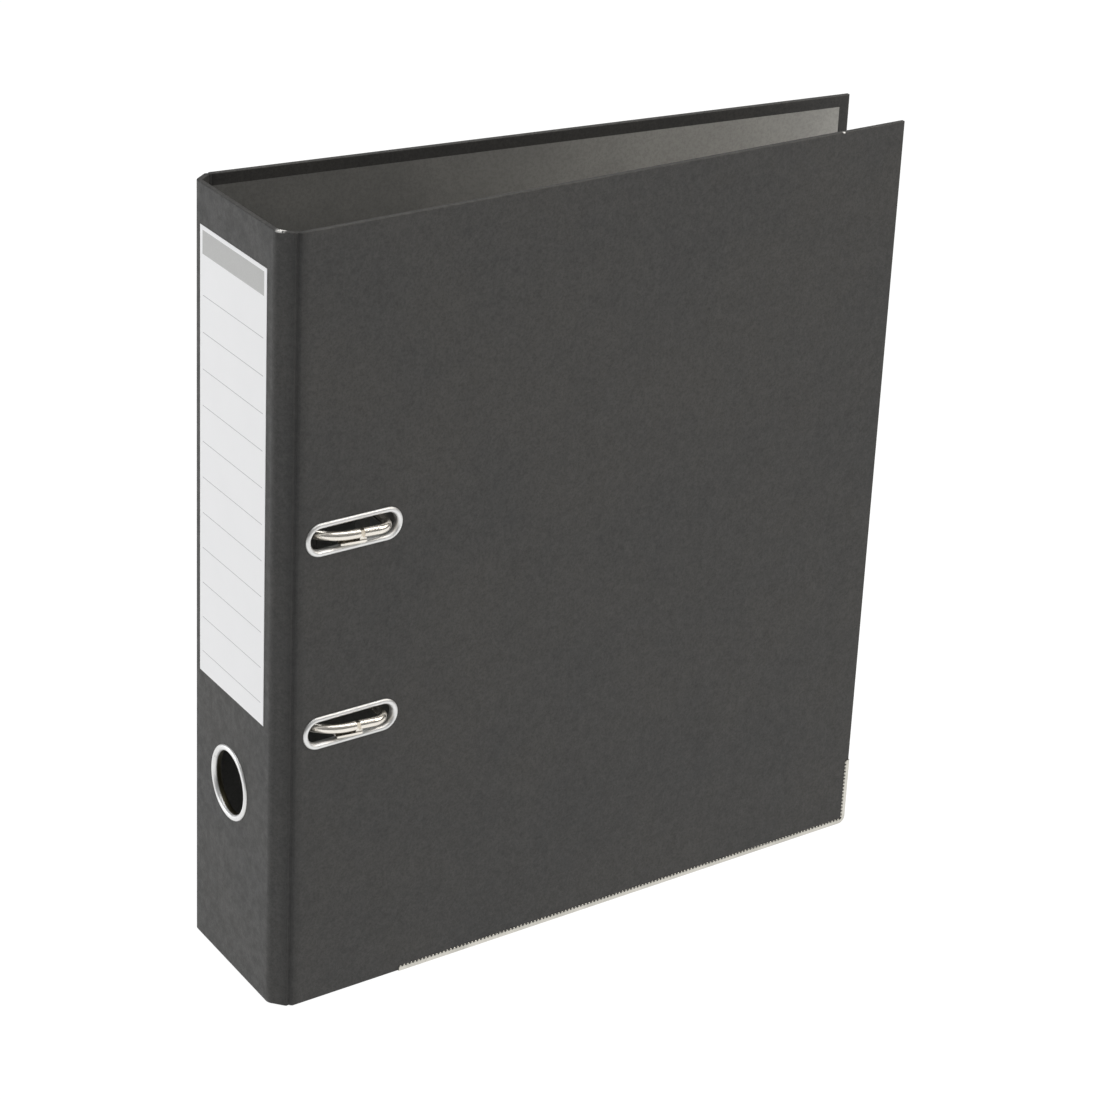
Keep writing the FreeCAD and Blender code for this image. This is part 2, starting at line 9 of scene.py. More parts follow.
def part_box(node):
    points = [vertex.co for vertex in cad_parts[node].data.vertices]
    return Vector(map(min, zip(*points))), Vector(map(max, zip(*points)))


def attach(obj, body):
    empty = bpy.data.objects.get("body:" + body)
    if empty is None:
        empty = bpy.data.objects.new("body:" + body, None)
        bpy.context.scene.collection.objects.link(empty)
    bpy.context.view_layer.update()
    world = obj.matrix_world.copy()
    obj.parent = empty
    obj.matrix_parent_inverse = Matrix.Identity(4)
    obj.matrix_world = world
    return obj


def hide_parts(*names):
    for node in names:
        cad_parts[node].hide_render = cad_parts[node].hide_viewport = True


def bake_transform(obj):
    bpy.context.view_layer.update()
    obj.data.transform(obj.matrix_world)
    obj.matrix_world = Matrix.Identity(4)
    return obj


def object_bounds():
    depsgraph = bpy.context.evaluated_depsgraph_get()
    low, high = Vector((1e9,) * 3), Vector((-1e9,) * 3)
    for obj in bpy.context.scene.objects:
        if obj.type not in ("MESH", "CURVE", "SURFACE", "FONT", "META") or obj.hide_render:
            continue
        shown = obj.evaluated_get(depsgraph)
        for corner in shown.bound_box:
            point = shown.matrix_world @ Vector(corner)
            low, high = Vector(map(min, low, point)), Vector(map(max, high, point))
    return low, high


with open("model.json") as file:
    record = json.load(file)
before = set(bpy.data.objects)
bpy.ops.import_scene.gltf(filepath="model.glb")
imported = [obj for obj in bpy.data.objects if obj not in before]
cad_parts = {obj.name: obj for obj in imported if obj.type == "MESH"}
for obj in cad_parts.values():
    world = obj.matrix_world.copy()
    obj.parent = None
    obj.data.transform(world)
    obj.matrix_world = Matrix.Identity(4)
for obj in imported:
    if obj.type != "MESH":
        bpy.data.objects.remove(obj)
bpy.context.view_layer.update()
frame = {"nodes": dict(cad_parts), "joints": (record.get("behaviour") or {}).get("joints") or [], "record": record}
NODES = frame["nodes"]
JOINTS = {j["name"]: j for j in frame["joints"]}

MM = 0.001
UP = Vector((0, 0, 1))
WALL = 2.2 * MM               # board with its covering and lining
PAPER = 0.2 * MM
MARGIN = 4.8 * MM             # turned-in covering left showing round the lining
SKIN = 0.02 * MM              # kept between two faces that would otherwise coincide

CREASE_STEPS = 16             # facets across a crease
CREASE_ROWS = 24              # rows up a crease between its margins
GROOVE_DEPTH = 0.80 * MM
GROOVE_SPREAD = 0.26          # of the crease's width
GROOVE_REACH = 5.2 * MM       # how far the painted shade reaches from a groove
INNER_SHARE = 0.4             # how much of the groove shows on the inside

SLOT_RIM = (38.4 * MM, 8.8 * MM, 2.35 * MM)      # length, width and flange
THUMB_RIM = (25.6 * MM, 25.6 * MM, 2.6 * MM)
RIM_CREST = 0.50              # where the lip is highest, as a share of the flange
RIM_PROUD = 0.88 * MM
RIM_WALL = 0.4 * MM
RIM_DEPTH = 0.95 * MM         # where the curled lip meets the barrel
RIM_STEPS = 96                # facets round a rim
LIP_STEPS = 6                 # facets from the flange's edge to its crest
ROLL_STEPS = 7                # facets from the crest to the barrel

PROTECTOR_METAL = 0.3 * MM
PROTECTOR_BEND = 3.3 * MM     # radius of the fore corner
PROTECTOR_STEPS = 9           # facets round the fore corner
# Section of the strip in mm: distance in from the folded edge, depth below the outer face.
PROTECTOR_SECTION = [
    (1.75, -0.28), (0.55, -0.29), (0.22, -0.24), (0.05, -0.10), (0.0, 0.1),
    (0.0, 2.1), (0.05, 2.30), (0.22, 2.44), (0.55, 2.49), (1.75, 2.48),
    (1.75, 2.22), (0.32, 2.21), (0.32, -0.01), (1.75, -0.02),
]
BEAD_PITCH = 1.75 * MM
BEAD_SIDES = 8
BEAD_HALF = (0.66, 0.70)      # half width across and along the edge, mm
BEAD_INSET = 1.78             # bead centre from the folded edge, mm
BEAD_RINGS = ((1.0, 0.02), (0.88, 0.16), (0.55, 0.27))     # share of its width, height in mm
BEAD_TOP = 0.295              # mm
BEAD_BARE = 2.6 * MM          # strip without beads between the bottom row and the corner
BEAD_FIRST = 3.4 * MM         # height of the first bead up the fore edge
BEAD_SHORT = 3.6 * MM         # how much shorter the row up the fore edge is than the strip

# Label, measured from its bottom edge, its top edge and its middle.
RULE_TOP, RULE_PITCH, RULES = 155.54 * MM, 14.66 * MM, 11
RULE_THIN, RULE_FADE, RULE_HALF = 0.10 * MM, 0.19 * MM, 25.3 * MM
BAND_TOP, BAND_BOTTOM, BAND_HALF = 1.7 * MM, 11.0 * MM, 25.6 * MM

# The floor glows outside the closed file's footprint, so that no shadow shows round it.
FLOOR_SIZE = 12.0
FLOOR_GAP = 0.2 * MM
FLOOR_SOFT = 16 * MM          # how far inside the footprint the glow fades
FLOOR_GLOW = 0.98


# ------------------------------------------------------------------ material helpers
class Nodes:
    """Builds one material out of procedural nodes, in the row frame's own metres."""

    def __init__(self, name, metallic=0.0, roughness=0.5, specular=0.5):
        self.material = bpy.data.materials.new(name)
        self.material.use_nodes = True
        self.tree = self.material.node_tree
        self.shader = self.tree.nodes["Principled BSDF"]
        self.shader.inputs["Metallic"].default_value = metallic
        self.shader.inputs["Roughness"].default_value = roughness
        self.shader.inputs["Specular IOR Level"].default_value = specular
        self.coords = self.tree.nodes.new("ShaderNodeTexCoord").outputs["Object"]
        split = self.tree.nodes.new("ShaderNodeSeparateXYZ")
        self.link(self.coords, split.inputs[0])
        self.x, self.y, self.z = split.outputs

    def link(self, source, target):
        self.tree.links.new(source, target)

    def feed(self, value, socket):
        if isinstance(value, (int, float)):
            socket.default_value = value
        elif isinstance(value, tuple):
            socket.default_value = (*value, 1.0)[:len(socket.default_value)]
        else:
            self.link(value, socket)

    def math(self, operation, a, b=0.0):
        node = self.tree.nodes.new("ShaderNodeMath")
        node.operation = operation
        for value, socket in zip((a, b), node.inputs):
            self.feed(value, socket)
        return node.outputs[0]

    def stretch(self, scale):
        node = self.tree.nodes.new("ShaderNodeMapping")
        node.inputs["Scale"].default_value = scale
        self.link(self.coords, node.inputs["Vector"])
        return node.outputs[0]

    def noise(self, size, detail=3.0, rough=0.55, shape=(1, 1, 1)):
        """Noise whose blotches are about size metres across."""
        node = self.tree.nodes.new("ShaderNodeTexNoise")
        node.inputs["Scale"].default_value = 1.0 / size
        node.inputs["Detail"].default_value = detail
        node.inputs["Roughness"].default_value = rough
        self.link(self.stretch(shape), node.inputs["Vector"])
        return node.outputs["Fac"]

    def ramp(self, value, low, high, to_low=0.0, to_high=1.0):
        node = self.tree.nodes.new("ShaderNodeMapRange")
        node.interpolation_type = "SMOOTHSTEP"
        for key, v in (("Value", value), ("From Min", low), ("From Max", high),
                       ("To Min", to_low), ("To Max", to_high)):
            self.feed(v, node.inputs[key])
        return node.outputs[0]

    def mix(self, factor, a, b):
        node = self.tree.nodes.new("ShaderNodeMix")
        node.data_type = "RGBA"
        self.feed(factor, node.inputs["Factor"])
        self.feed(a, node.inputs["A"])
        self.feed(b, node.inputs["B"])
        return node.outputs["Result"]

    def near(self, spot, reach):
        """1 at a point in the row frame, fading to 0 at reach metres."""
        node = self.tree.nodes.new("ShaderNodeVectorMath")
        node.operation = "DISTANCE"
        self.link(self.coords, node.inputs[0])
        node.inputs[1].default_value = spot
        return self.ramp(node.outputs["Value"], 0.25 * reach, reach, 1.0, 0.0)

    def near_line(self, spot, reach):
        """1 at an upright line through a point, fading to 0 at reach metres."""
        east = self.math("SUBTRACT", self.x, spot[0])
        north = self.math("SUBTRACT", self.y, spot[1])
        square = self.math("ADD", self.math("MULTIPLY", east, east),
                           self.math("MULTIPLY", north, north))
        return self.ramp(self.math("SQRT", square), 0.15 * reach, reach, 1.0, 0.0)

    def bump(self, height, strength, distance):
        node = self.tree.nodes.new("ShaderNodeBump")
        node.inputs["Strength"].default_value = strength
        node.inputs["Distance"].default_value = distance
        self.link(height, node.inputs["Height"])
        self.link(node.outputs[0], self.shader.inputs["Normal"])

    def colour(self, value):
        self.feed(value, self.shader.inputs["Base Color"])

    def roughness(self, value):
        self.feed(value, self.shader.inputs["Roughness"])

    def glow(self, strength):
        self.shader.inputs["Emission Color"].default_value = (1.0, 1.0, 1.0, 1.0)
        self.feed(strength, self.shader.inputs["Emission Strength"])


def covering_paper(top, nicks, grooves):
    """Matt charcoal paper: speckled grain, painted shade along the grooves, a top edge lighter in worn patches
    with a painted highlight, and small chips on the top edge.
    """
    m = Nodes("covering_paper", specular=0.26)
    blotch = m.ramp(m.noise(0.040, 4), 0.35, 0.68)
    cloud = m.ramp(m.noise(0.0090, 3, 0.6), 0.36, 0.66)
    fibre = m.ramp(m.noise(0.0026, 3, 0.7), 0.36, 0.66)
    speck = m.ramp(m.noise(0.0011, 2, 0.8), 0.42, 0.64)
    body = m.mix(blotch, (0.0490, 0.0488, 0.0476), (0.0560, 0.0545, 0.0512))
    body = m.mix(m.math("MULTIPLY", cloud, 0.15), body, (0.073, 0.071, 0.067))
    body = m.mix(m.math("MULTIPLY", fibre, 0.42), body, (0.077, 0.075, 0.071))
    body = m.mix(m.math("MULTIPLY", speck, 0.48), body, (0.032, 0.032, 0.031))
    # painted shade: the paper is darkened near each fold line, where shade falls in the groove
    for line, reach in grooves:
        shade = m.math("MULTIPLY", m.near_line(line, reach), 0.38)
        body = m.mix(shade, body, (0.016, 0.016, 0.016))
    # partly wear, partly painted highlight: the top edge is lighter in broken patches, as where the rounded edge
    # catches the light
    edge = m.ramp(m.z, top - 0.0009, top - 0.0001)
    rubbed_and_highlight = m.math("MULTIPLY", edge, m.ramp(m.noise(0.003, 4, 0.7), 0.45, 0.80, 0.0, 0.35))
    body = m.mix(rubbed_and_highlight, body, (0.120, 0.117, 0.110))
    crest = m.ramp(m.z, top - 0.0008, top - 0.0004)
    for spot, reach in nicks:
        torn = m.math("MULTIPLY", m.near(spot, reach), m.ramp(m.noise(0.0009, 3, 0.8), 0.40, 0.48))
        body = m.mix(m.math("MULTIPLY", torn, crest), body, (0.78, 0.77, 0.74))
    m.colour(body)
    m.roughness(m.ramp(m.noise(0.004, 3), 0.3, 0.7, 0.50, 0.64))
    grain = m.math("ADD", m.noise(0.0006, 3, 0.75), m.math("MULTIPLY", m.noise(0.0020, 2), 0.5))
    m.bump(grain, 0.34, 0.00020)
    return m.material


def lining_paper(spine_x, fore_x):
    """Plain grey paper with a mottled grain, and painted light that makes it paler towards the fore edge."""
    m = Nodes("lining_paper", specular=0.32)
    # painted light: the paper goes from dark near the spine to pale at the fore edge, where more light falls
    painted_fore_light = m.ramp(m.x, spine_x, fore_x)
    dark = m.mix(painted_fore_light, (0.150, 0.151, 0.145), (0.380, 0.375, 0.355))
    light = m.mix(painted_fore_light, (0.195, 0.194, 0.184), (0.430, 0.425, 0.400))
    pit = m.mix(painted_fore_light, (0.088, 0.088, 0.084), (0.215, 0.212, 0.198))
    base = m.mix(m.ramp(m.noise(0.03, 4), 0.3, 0.7), dark, light)
    base = m.mix(m.math("MULTIPLY", m.ramp(m.noise(0.0030, 3, 0.7), 0.38, 0.64), 0.28), base, light)
    base = m.mix(m.math("MULTIPLY", m.ramp(m.noise(0.0012, 3, 0.8), 0.42, 0.62), 0.30), base, pit)
    m.colour(base)
    m.roughness(m.ramp(m.noise(0.003, 3), 0.3, 0.7, 0.50, 0.64))
    m.bump(m.noise(0.0008, 3, 0.7), 0.30, 0.00015)
    return m.material


def grey_board():
    m = Nodes("grey_board", specular=0.2)
    fibre = m.noise(0.002, 4, 0.7, (1, 1, 6))
    base = m.mix(m.ramp(fibre, 0.3, 0.7), (0.34, 0.32, 0.29), (0.50, 0.48, 0.44))
    m.colour(base)
    m.roughness(m.ramp(fibre, 0.2, 0.8, 0.75, 0.95))
    m.bump(fibre, 0.5, 0.0002)
    return m.material


def label_paper(low, high):
    """White label with a grey heading band and thin writing lines."""
    m = Nodes("label_paper", specular=0.45)
    middle = (low.y + high.y) / 2
    across = m.math("SUBTRACT", m.y, middle)
    step = m.math("DIVIDE", m.math("SUBTRACT", low.z + RULE_TOP, m.z), RULE_PITCH)
    nearest = m.math("ROUND", step)
    off = m.math("MULTIPLY", m.math("ABSOLUTE", m.math("SUBTRACT", step, nearest)), RULE_PITCH)
    rule = m.ramp(off, RULE_THIN, RULE_FADE, 1.0, 0.0)
    rule = m.math("MULTIPLY", rule, m.math("GREATER_THAN", nearest, -0.5))
    rule = m.math("MULTIPLY", rule, m.math("LESS_THAN", nearest, RULES - 0.5))
    inside = m.math("LESS_THAN", m.math("ABSOLUTE", across), RULE_HALF)
    rule = m.math("MULTIPLY", rule, inside)
    band = m.math("MULTIPLY", m.math("GREATER_THAN", m.z, high.z - BAND_BOTTOM),
                  m.math("LESS_THAN", m.z, high.z - BAND_TOP))
    band = m.math("MULTIPLY", band, m.math("LESS_THAN", m.math("ABSOLUTE", across), BAND_HALF))
    tint = m.noise(0.02, 3)
    white = m.mix(tint, (0.80, 0.80, 0.805), (0.86, 0.86, 0.862))
    grain = m.noise(0.0007, 2, 0.7)
    grey = m.mix(grain, (0.40, 0.40, 0.39), (0.50, 0.50, 0.49))
    base = m.mix(m.math("MULTIPLY", rule, 0.75), white, (0.25, 0.25, 0.26))
    m.colour(m.mix(band, base, grey))
    m.roughness(m.ramp(tint, 0.3, 0.7, 0.30, 0.42))
    m.bump(grain, 0.08, 0.0001)
    return m.material


def metal(name, dark, light, rough, dents=0.0, relief=0.06, barrel=None):
    """Plated metal: slightly uneven tone, fine marks and a soft waviness.

    barrel gives the darker tone painted inside the thumb ring as shade and a dark reflection,
    and where along x that starts and ends.
    """
    m = Nodes(name, metallic=1.0)
    tone = m.mix(m.ramp(m.noise(0.012, 4), 0.3, 0.7), dark, light)
    if barrel:
        # painted shade and dark reflection: a darker tone inside the thumb ring's barrel
        painted_barrel_shade = m.ramp(m.x, barrel[1], barrel[1] + 0.4 * MM)
        painted_barrel_shade = m.math("MULTIPLY", painted_barrel_shade, m.math("LESS_THAN", m.x, barrel[2]))
        tone = m.mix(painted_barrel_shade, tone, barrel[0])
    marks = m.noise(0.0022, 4, 0.7)
    pits = m.ramp(marks, 0.62, 0.72)
    m.colour(m.mix(m.math("MULTIPLY", pits, 0.35), tone, (0.30, 0.28, 0.25)))
    m.roughness(m.ramp(marks, 0.3, 0.75, rough[0], rough[1]))
    height = m.math("ADD", m.math("MULTIPLY", marks, 0.3),
                    m.math("MULTIPLY", m.noise(0.008, 2), dents))
    m.bump(height, relief, 0.00008)
    return m.material


def grip_plastic():
    m = Nodes("grip_plastic", specular=0.5)
    cloud = m.noise(0.004, 3)
    m.colour(m.mix(cloud, (0.016, 0.016, 0.017), (0.028, 0.028, 0.029)))
    m.roughness(m.ramp(cloud, 0.3, 0.7, 0.34, 0.5))
    m.bump(m.noise(0.0004, 2), 0.25, 0.0001)
    return m.material


# ------------------------------------------------------------------ mesh helpers
def piece(name, verts, faces, material, slot, body=None, smooth=35.0):
    mesh = bpy.data.meshes.new(name)
    mesh.from_pydata([tuple(v) for v in verts], [], faces)
    mesh.validate()
    obj = bpy.data.objects.new(name, mesh)
    bpy.context.scene.collection.objects.link(obj)
    bpy.context.view_layer.objects.active = obj
    obj.select_set(True)
    bpy.ops.object.mode_set(mode="EDIT")
    bpy.ops.mesh.select_all(action="SELECT")
    bpy.ops.mesh.normals_make_consistent(inside=False)
    bpy.ops.object.mode_set(mode="OBJECT")
    bpy.ops.object.shade_smooth_by_angle(angle=math.radians(smooth))
    obj.select_set(False)
    mesh.materials.append(material)
    if body:
        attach(obj, body)
    return obj


def loft(rings, closed_path=False):
    """Verts and faces joining closed rings of points, each ring the same length."""
    verts = [p for ring in rings for p in ring]
    n, m = len(rings[0]), len(rings)
    faces = []
    for i in range(m if closed_path else m - 1):
        a, b = i * n, (i + 1) % m * n
        for j in range(n):
            k = (j + 1) % n
            faces.append((a + j, a + k, b + k, b + j))
    if not closed_path:
        faces.append(tuple(range(n)))
        faces.append(tuple(range((m - 1) * n, m * n))[::-1])
    return verts, faces


class Panel:
    """A flat panel of the case: where it starts and ends, and which way it faces."""

    def __init__(self, stem):
        mesh = NODES[stem + "_board"].data
        flat = max(mesh.polygons, key=lambda p: p.area).normal.copy()
        flat.z = 0
        flat.normalize()
        middle = sum(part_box(stem + "_board"), Vector()) / 2
        self.out = flat if flat.dot(middle - CENTRE) > 0 else -flat
        self.along = UP.cross(self.out)
        points = np.array([v.co for v in NODES[stem + "_covering"].data.vertices])
        run = points @ np.array(self.along)
        self.start, self.stop = float(run.min()), float(run.max())
        self.face = float((points @ np.array(self.out)).max())

    def at(self, run, depth, z):
        return self.along * run + self.out * (self.face - depth) + UP * z

    def end_near(self, spot):
        """The end of the panel nearest a point, as a distance along it."""
        run = self.along.dot(Vector(spot))
        return self.start if abs(run - self.start) < abs(run - self.stop) else self.stop


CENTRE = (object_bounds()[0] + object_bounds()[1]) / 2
PANELS = {stem: Panel(stem) for stem in ("back", "back_strip", "spine", "front_strip", "front")}
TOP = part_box("spine_covering")[1].z
SPINE_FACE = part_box("spine_covering")[0].x

# ------------------------------------------------------------------ materials on the CAD nodes
strip = PANELS["front_strip"]
spine_corner = strip.at(strip.end_near(JOINTS["front_spine_fold"]["pos_m"]), 0.0005, TOP)
front = PANELS["front"]
fore = max((front.start, front.stop), key=lambda run: front.at(run, 0, 0).x)
inward = -1 if fore == front.stop else 1
NICKS = [
    (tuple(spine_corner + Vector((0.0006, 0.0002, 0))), 0.0026),
    (tuple(front.at(fore + inward * 0.0320, 0.0003, TOP)), 0.0009),
]
GROOVES = [(JOINTS[name]["pos_m"], GROOVE_REACH)
           for name in ("front_cover_fold", "back_cover_fold")]
# painted shade and dark reflection inside the thumb ring's barrel: its tone, and where along x it starts and ends
BARREL_SHADE = ((0.10, 0.090, 0.060), SPINE_FACE + 0.8 * MM, SPINE_FACE + 6 * MM)
LOOKS = {
    "covering_paper": covering_paper(TOP, NICKS, GROOVES),
    "lining_paper": lining_paper(CENTRE.x - 0.10, CENTRE.x + 0.14),
    "grey_board": grey_board(),
    "label_paper": label_paper(*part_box("spine_label")),
    "eyelet_chrome": metal("eyelet_chrome", (0.72, 0.72, 0.71), (0.80, 0.80, 0.79),
                           (0.42, 0.50), 0.4, barrel=BARREL_SHADE),
    "protector_nickel": metal("protector_nickel", (0.52, 0.505, 0.455), (0.63, 0.61, 0.555),
                              (0.26, 0.38), 2.0),
    "grip_plastic": grip_plastic(),
    "nickel_wire": metal("nickel_wire", (0.76, 0.72, 0.65), (0.88, 0.84, 0.77),
                         (0.22, 0.28), 0.0, 0.01),
    "plated_steel": metal("plated_steel", (0.55, 0.55, 0.56), (0.68, 0.68, 0.68),
                          (0.26, 0.42), 1.5),
}
for entry in frame["record"]["subparts"]:
    obj = NODES[entry["node"]]
    obj.data.materials.clear()
    obj.data.materials.append(LOOKS[entry["material_slot"]])


# ------------------------------------------------------------------ creases
def crease(name, a, b, joint, groove):
    """The covering and the lining bent between two boards, with a pressed groove."""
    pivot = Vector(JOINTS[joint]["pos_m"])
    pa, pb = PANELS[a], PANELS[b]
    start = pa.at(pa.end_near(pivot), 0, 0)
    stop = pb.at(pb.end_near(pivot), 0, 0)
    turn = pa.out.angle(pb.out)
    radius = (stop - start).length / (2 * math.sin(turn / 2))
    centre = start - pa.out * radius
    spin = 1 if pa.out.cross(pb.out).z > 0 else -1

    def arc(depth, z, dip):
        points = []
        for i in range(CREASE_STEPS + 1):
            t = i / CREASE_STEPS
            sink = dip * math.exp(-((t - 0.5) / GROOVE_SPREAD) ** 2)
            turned = Matrix.Rotation(spin * turn * t, 3, "Z") @ pa.out
            points.append(centre + turned * (radius - depth - sink) + UP * z)
        return points

    low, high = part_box(name + "_crease")[0].z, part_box(name + "_crease")[1].z
    soft, lip, lip_inset, step = 0.35 * MM, 0.1 * MM, 0.16 * MM, 0.01 * MM
    heights = [(low, soft, WALL), (low + lip, lip_inset, WALL), (low + soft, 0, WALL)]
    heights += [(low + MARGIN, 0, WALL), (low + MARGIN + step, 0, WALL - PAPER)]
    run = high - low - 2 * MARGIN
    heights += [(low + MARGIN + run * i / CREASE_ROWS, 0, WALL - PAPER)
                for i in range(1, CREASE_ROWS)]
    heights += [(high - MARGIN - step, 0, WALL - PAPER), (high - MARGIN, 0, WALL)]
    heights += [(high - soft, 0, WALL), (high - lip, lip_inset, WALL), (high, soft, WALL)]
    rings = []
    for z, inset, depth in heights:
        behind = arc(depth - inset * 0.5, z, groove * INNER_SHARE)
        rings.append(arc(inset, z, groove) + behind[::-1])
    outer = piece(name + "_cloth", *loft(rings), LOOKS["covering_paper"], "covering_paper")
    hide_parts(name + "_crease")
    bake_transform(outer)

    rings = []
    for i in range(CREASE_ROWS + 1):
        z = low + MARGIN + run * i / CREASE_ROWS
        near = arc(WALL - PAPER + SKIN, z, groove * INNER_SHARE)
        far = arc(WALL, z, groove * INNER_SHARE)
        rings.append(near + far[::-1])
    inner = piece(name + "_liner", *loft(rings), LOOKS["lining_paper"], "lining_paper")
    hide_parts(name + "_crease_lining")
    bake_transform(inner)


crease("back_cover", "back", "back_strip", "back_cover_fold",
       GROOVE_DEPTH)
crease("back_spine", "back_strip", "spine", "back_spine_fold", 0.0)
crease("front_spine", "spine", "front_strip", "front_spine_fold", 0.0)
crease("front_cover", "front_strip", "front", "front_cover_fold",
       GROOVE_DEPTH)


# ------------------------------------------------------------------ metal rims
def stadium_path(length, width, count):
    """Points and outward directions round a slot centred on the origin, in (u, z)."""
    half, r = (length - width) / 2, width / 2
    straight = 2 * half
    total = 2 * straight + 2 * math.pi * r
    result = []
    for i in range(count):
        s = total * i / count
        if s < math.pi * r:
            t = s / r - math.pi / 2
            result.append(((half + r * math.cos(t), r * math.sin(t)), (math.cos(t), math.sin(t))))
        elif s < math.pi * r + straight:
            result.append(((half - (s - math.pi * r), r), (0.0, 1.0)))
        elif s < 2 * math.pi * r + straight:
            t = (s - math.pi * r - straight) / r + math.pi / 2
            result.append(((-half + r * math.cos(t), r * math.sin(t)), (math.cos(t), math.sin(t))))
        else:
            result.append(((-half + (s - 2 * math.pi * r - straight), -r), (0.0, -1.0)))
    return result


def rim(name, node, panel, size, body):
    """A rolled metal eyelet: barrel through the board, lip curled over on both faces."""
    low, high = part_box(node)
    middle = (low + high) / 2
    run = panel.along.dot(middle)
    length, width, flange = size
    crest = RIM_CREST * flange
    curl = []
    for i in range(LIP_STEPS):
        t = math.pi / 2 * i / LIP_STEPS
        curl.append((crest + (flange - crest) * math.cos(t), -RIM_PROUD * math.sin(t)))
    for i in range(ROLL_STEPS + 1):
        t = math.pi / 2 * i / ROLL_STEPS
        curl.append((crest * (1 - math.sin(t)), RIM_DEPTH - (RIM_PROUD + RIM_DEPTH) * math.cos(t)))
    profile = curl + [(q, WALL - w) for q, w in curl[::-1]]
    profile += [(RIM_WALL, WALL - SKIN), (RIM_WALL, SKIN)]
    rings = []
    for (u, z), (du, dz) in stadium_path(length, width, RIM_STEPS):
        rings.append([panel.at(run + u + du * q, depth, middle.z + z + dz * q)
                      for q, depth in profile])
    obj = piece(name, *loft(rings, closed_path=True), LOOKS["eyelet_chrome"], "eyelet_chrome",
                body, 50)
    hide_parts(node)


for where in ("upper", "lower"):
    rim("rolled_slot_rim_" + where, "slot_eyelet_" + where, PANELS["front"], SLOT_RIM,
        "front_cover")
rim("rolled_thumb_rim", "thumb_ring", PANELS["spine"], THUMB_RIM, "spine")


# ------------------------------------------------------------------ edge protectors
def protector(name, node, panel, body):
    """Folded strip with a row of pressed beads along both of its edges."""
    low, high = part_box(node)
    fore_run = max((panel.start, panel.stop), key=lambda run: panel.at(run, 0, 0).x)
    side = 1 if fore_run == panel.start else -1
    bend, bottom = PROTECTOR_BEND, low.z
    edge = fore_run - side * PROTECTOR_METAL
    length = (low.x - panel.at(edge, 0, 0).x) / (panel.along.x * side)
    path = []
    count = int(length / BEAD_PITCH)
    for i in range(count + 1):
        s = length - (length - bend) * i / count
        path.append(((edge + side * s, bottom), (0.0, 1.0)))
    for i in range(1, PROTECTOR_STEPS):
        t = math.pi / 2 * i / PROTECTOR_STEPS
        u, z = bend - bend * math.sin(t), bend - bend * math.cos(t)
        path.append(((edge + side * u, bottom + z), (side * math.sin(t), math.cos(t))))
    rise = high.z - bottom
    count_up = int((rise - bend) / BEAD_PITCH)
    for i in range(count_up + 1):
        z = bend + (rise - bend) * i / count_up
        path.append(((edge, bottom + z), (side * 1.0, 0.0)))
    rings = []
    for (u, z), (du, dz) in path:
        rings.append([panel.at(u + du * q * MM, w * MM, z + dz * q * MM)
                      for q, w in PROTECTOR_SECTION])
    verts, faces = loft(rings)
    # Each bead's centre on the folded edge, the direction inward and the direction along the edge.
    spots = [((edge + side * (length - BEAD_PITCH * (k + 0.5)), bottom),
              (0.0, 1.0), (side * -1.0, 0.0))
             for k in range(int((length - BEAD_BARE) / BEAD_PITCH))]
    spots += [((edge, bottom + BEAD_FIRST + BEAD_PITCH * k), (side * 1.0, 0.0), (0.0, 1.0))
              for k in range(int((rise - BEAD_SHORT) / BEAD_PITCH) + 1)]
    for (u, z), (du, dz), (su, sz) in spots:
        for face, sign in ((0.0, -1.0), (2.2, 1.0)):
            base = len(verts)
            for share, lift in BEAD_RINGS:
                for j in range(BEAD_SIDES):
                    t = 2 * math.pi * j / BEAD_SIDES
                    q = (BEAD_INSET + BEAD_HALF[0] * share * math.cos(t)) * MM
                    s = BEAD_HALF[1] * share * math.sin(t) * MM
                    depth = (face + sign * lift) * MM
                    verts.append(panel.at(u + du * q + su * s, depth, z + dz * q + sz * s))
            verts.append(panel.at(u + du * BEAD_INSET * MM, (face + sign * BEAD_TOP) * MM,
                                  z + dz * BEAD_INSET * MM))
            n = BEAD_SIDES
            for a in (base, base + n):
                for j in range(n):
                    k = (j + 1) % n
                    faces.append((a + j, a + k, a + n + k, a + n + j))
            crown = base + 2 * n
            faces += [(crown + j, crown + (j + 1) % n, crown + n) for j in range(n)]
            faces.append(tuple(base + j for j in range(n))[::-1])
    obj = piece(name, verts, faces, LOOKS["protector_nickel"], "protector_nickel", body, 40)
    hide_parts(node)


protector("beaded_front_protector", "front_edge_protector", PANELS["front"], "front_cover")
protector("beaded_back_protector", "back_edge_protector", PANELS["back"], "back_cover")

# ------------------------------------------------------------------ floor
tone = Nodes("floor_pale", roughness=0.8, specular=0.1)
low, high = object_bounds()
outside = tone.math("SUBTRACT", tone.x, high.x)
for panel in PANELS.values():
    away = tone.math("ADD", tone.math("MULTIPLY", tone.x, panel.out.x),
                     tone.math("MULTIPLY", tone.y, panel.out.y))
    outside = tone.math("MAXIMUM", outside, tone.math("SUBTRACT", away, panel.face))
pale = tone.mix(tone.noise(0.5), (0.36, 0.36, 0.36), (0.38, 0.38, 0.38))
tone.colour(tone.mix(tone.ramp(outside, -FLOOR_SOFT, 0.0), pale, (0.10, 0.10, 0.10)))
tone.glow(tone.ramp(outside, -FLOOR_SOFT, 0.0, 0.0, FLOOR_GLOW))
bpy.ops.mesh.primitive_plane_add(size=FLOOR_SIZE, location=(0, 0, low.z - FLOOR_GAP))
floor = bpy.context.object
floor.name = "floor"
floor.data.materials.append(tone.material)

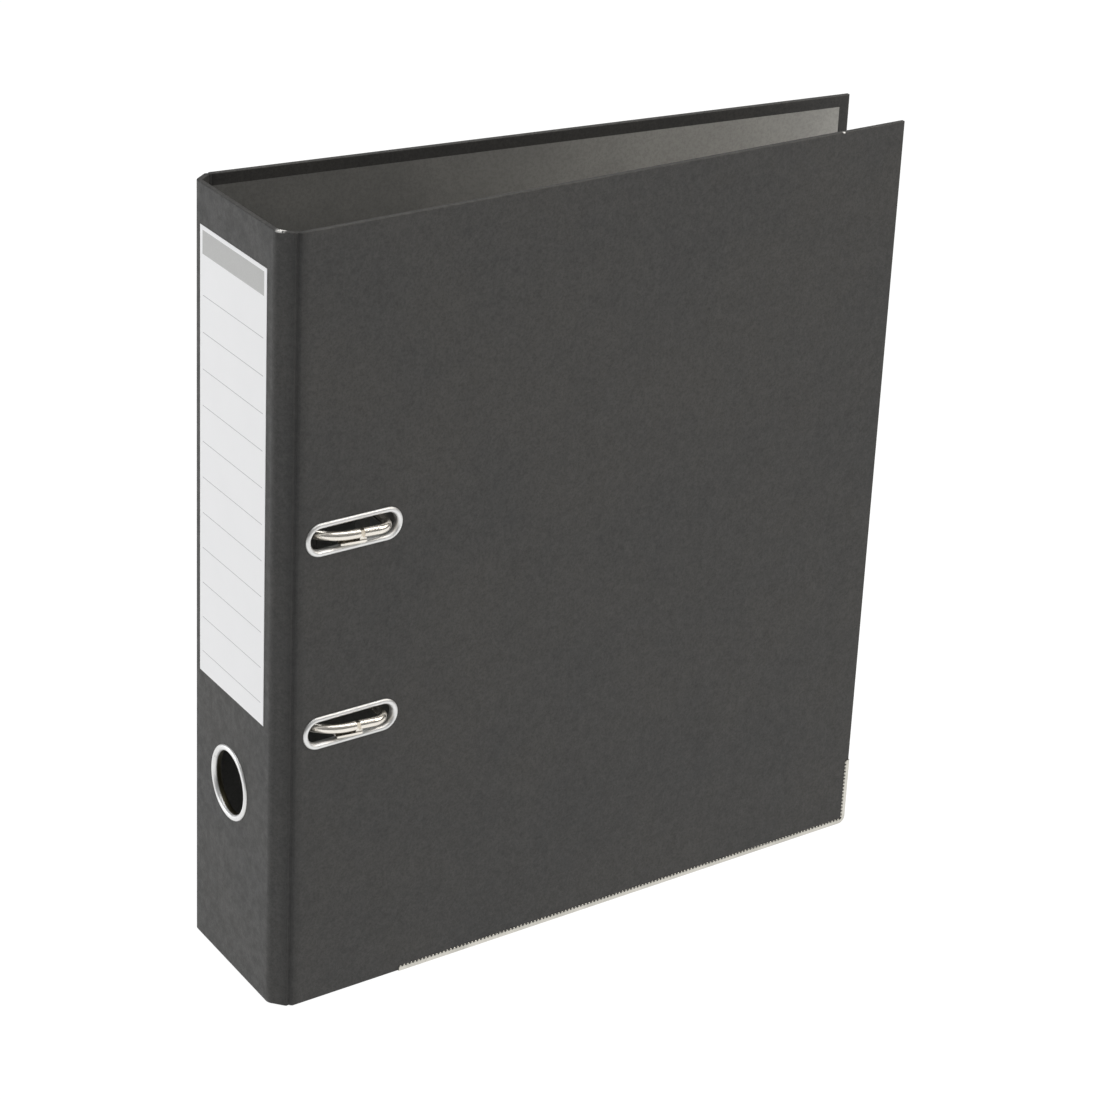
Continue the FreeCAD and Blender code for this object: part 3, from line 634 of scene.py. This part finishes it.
# ------------------------------------------------------------------ light and camera
world = bpy.data.worlds.new("studio")
bpy.context.scene.world = world
world.use_nodes = True
background = world.node_tree.nodes["Background"]
background.inputs["Strength"].default_value = 1.0
direction = world.node_tree.nodes.new("ShaderNodeSeparateXYZ")
sky = world.node_tree.nodes.new("ShaderNodeTexCoord").outputs["Generated"]
world.node_tree.links.new(sky, direction.inputs[0])
height = world.node_tree.nodes.new("ShaderNodeMapRange")
height.interpolation_type = "SMOOTHSTEP"
world.node_tree.links.new(direction.outputs[2], height.inputs["Value"])
for key, value in (("From Min", 0.05), ("From Max", 0.75), ("To Min", 0.12), ("To Max", 0.36)):
    height.inputs[key].default_value = value
backdrop = world.node_tree.nodes.new("ShaderNodeMix")
backdrop.inputs["B"].default_value = 0.97
seen = world.node_tree.nodes.new("ShaderNodeLightPath").outputs["Is Camera Ray"]
world.node_tree.links.new(seen, backdrop.inputs["Factor"])
world.node_tree.links.new(height.outputs[0], backdrop.inputs["A"])
world.node_tree.links.new(backdrop.outputs["Result"], background.inputs["Color"])


def softbox(name, place, aim, size, power, tint=(1, 1, 1)):
    lamp = bpy.data.lights.new(name, "AREA")
    lamp.shape = "RECTANGLE"
    lamp.size, lamp.size_y = size
    lamp.energy = power
    lamp.color = tint
    obj = bpy.data.objects.new(name, lamp)
    bpy.context.scene.collection.objects.link(obj)
    obj.location = place
    obj.rotation_mode = "QUATERNION"
    obj.rotation_quaternion = (Vector(aim) - Vector(place)).to_track_quat("-Z", "Y")


softbox("key_left", (-1.3, 0.9, 0.50), (-0.14, 0, 0.12), (0.9, 0.8), 8.2, (0.97, 0.98, 1.0))
softbox("fill_front", (0.75, -0.55, 1.0), (0.20, 0, 0.28), (0.5, 0.5), 3.8, (1.0, 0.94, 0.87))
softbox("right", (1.3, -0.3, 1.2), (0.12, 0, 0.28), (0.7, 0.7), 3, (1.0, 0.95, 0.89))
softbox("top", (0.1, 0.0, 1.6), (0.05, 0, 0.2), (1.2, 1.2), 13)

camera = bpy.data.cameras.new("camera")
camera_obj = bpy.data.objects.new("camera", camera)
bpy.context.scene.collection.objects.link(camera_obj)
CAMERA_AT = Vector((-0.625994, -1.051161, 0.695376))
AZIMUTH, ELEVATION, ROLL = (math.radians(a) for a in (-29.972, 23.856, 2.449))
back = Vector((math.sin(AZIMUTH) * math.cos(ELEVATION), -math.cos(AZIMUTH) * math.cos(ELEVATION),
               math.sin(ELEVATION)))
right = (-back).cross(UP).normalized()
up = right.cross(-back)
right, up = (right * math.cos(ROLL) + up * math.sin(ROLL),
             up * math.cos(ROLL) - right * math.sin(ROLL))
turned = Matrix((right, up, back)).transposed().to_4x4()
camera_obj.matrix_world = Matrix.Translation(CAMERA_AT) @ turned
camera.sensor_width = 36.0
camera.lens = 109.29
camera.shift_x = 0.0252
camera.shift_y = -0.0002
camera.clip_start = 0.05
camera.clip_end = 50.0
bpy.context.scene.camera = camera_obj
bpy.context.scene.view_settings.view_transform = "Standard"
